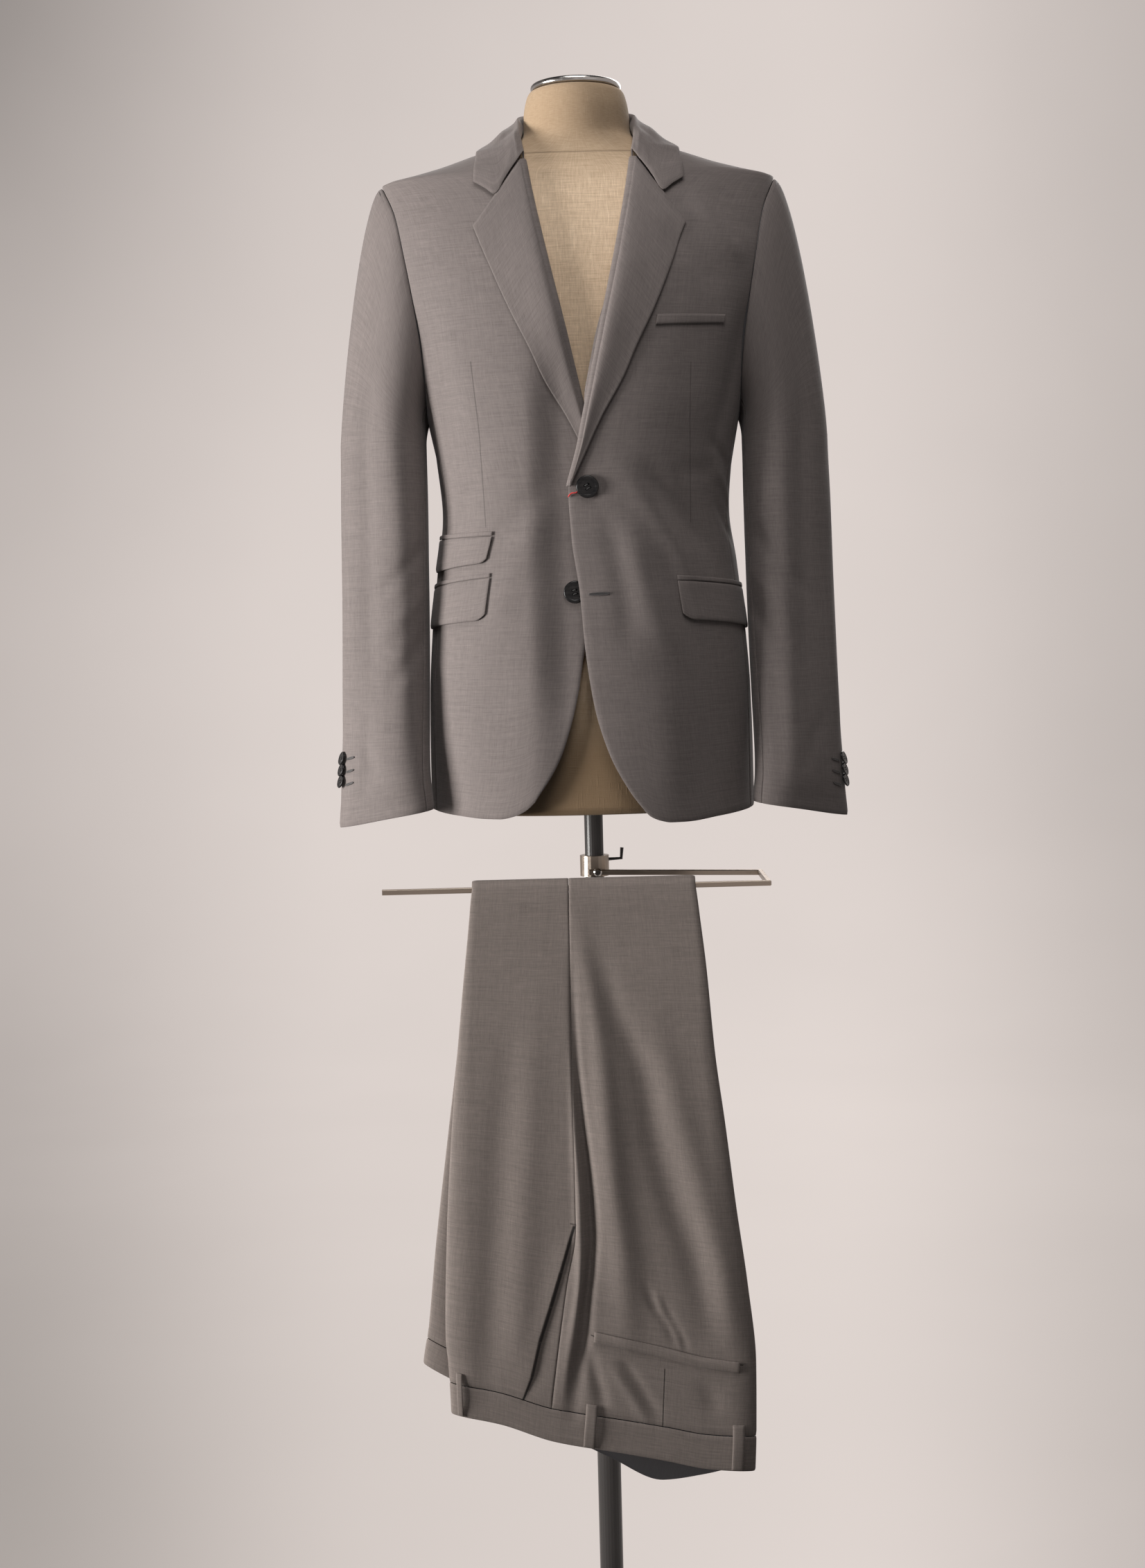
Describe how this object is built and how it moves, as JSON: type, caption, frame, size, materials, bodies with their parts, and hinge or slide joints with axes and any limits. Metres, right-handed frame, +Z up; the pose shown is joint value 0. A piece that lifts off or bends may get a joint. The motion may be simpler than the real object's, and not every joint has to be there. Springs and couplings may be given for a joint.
{
  "type": "suit on a dress form",
  "caption": "Two-piece suit: notch-lapel jacket buttoned on a limbless dress form on a pole stand, with the trousers folded over the stand's swivelling rail",
  "frame": {"origin": "middle of the base's underside, on the pole's axis", "axes": "+Z up along the pole, the suit faces -Y, so +X is the wearer's left"},
  "size_m": [0.5376, 0.38, 1.7094],
  "materials": {
    "suiting": "fine warm grey wool",
    "horn": "black, four holes",
    "linen": "beige linen cover",
    "chrome": "polished",
    "nickel": "nickel-plated",
    "black_steel": "black, satin"
  },
  "bodies": {
    "stand": {"base_plate": "black_steel", "lower_tube": "black_steel", "base_socket": "black_steel", "height_lock_ring": "black_steel", "height_lock_knob": "black_steel"},
    "figure": {"form_body": "linen", "neck_cap": "chrome", "upper_tube": "black_steel", "left_front": "suiting", "left_side_panel": "suiting", "left_back": "suiting", "left_lapel": "suiting", "left_upper_sleeve": "suiting", "left_under_sleeve": "suiting", "left_pocket_flap": "suiting", "left_pocket_welt": "suiting", "right_front": "suiting", "right_side_panel": "suiting", "right_back": "suiting", "right_lapel": "suiting", "right_upper_sleeve": "suiting", "right_under_sleeve": "suiting", "right_pocket_flap": "suiting", "right_pocket_welt": "suiting", "vent_underlap": "suiting", "collar": "suiting", "ticket_flap": "suiting", "ticket_welt": "suiting", "chest_welt": "suiting", "top_button": "horn", "lower_button": "horn", "right_cuff_button_1": "horn", "right_cuff_button_2": "horn", "right_cuff_button_3": "horn", "left_cuff_button_1": "horn", "left_cuff_button_2": "horn", "left_cuff_button_3": "horn"},
    "rail": {"rail_clamp": "nickel", "rail": "nickel", "rail_screw": "chrome", "clamp_key": "black_steel", "right_trouser_front": "suiting", "right_trouser_back": "suiting", "right_waistband": "suiting", "right_belt_loop_1": "suiting", "right_belt_loop_2": "suiting", "right_belt_loop_3": "suiting", "right_hip_pocket_welt": "suiting", "left_trouser_front": "suiting", "left_trouser_back": "suiting", "left_waistband": "suiting", "left_belt_loop_1": "suiting", "left_belt_loop_2": "suiting", "left_belt_loop_3": "suiting", "left_hip_pocket_welt": "suiting"}
  },
  "joints": [
    {"name": "height", "type": "slide", "parent": "stand", "child": "figure", "axis": [0, 0, 1], "range_m": [-0.12, 0.2]},
    {"name": "rail_swivel", "type": "hinge", "parent": "figure", "child": "rail", "pos_m": [0, 0, 0.888], "axis": [0, 0, 1], "continuous": true}
  ]
}
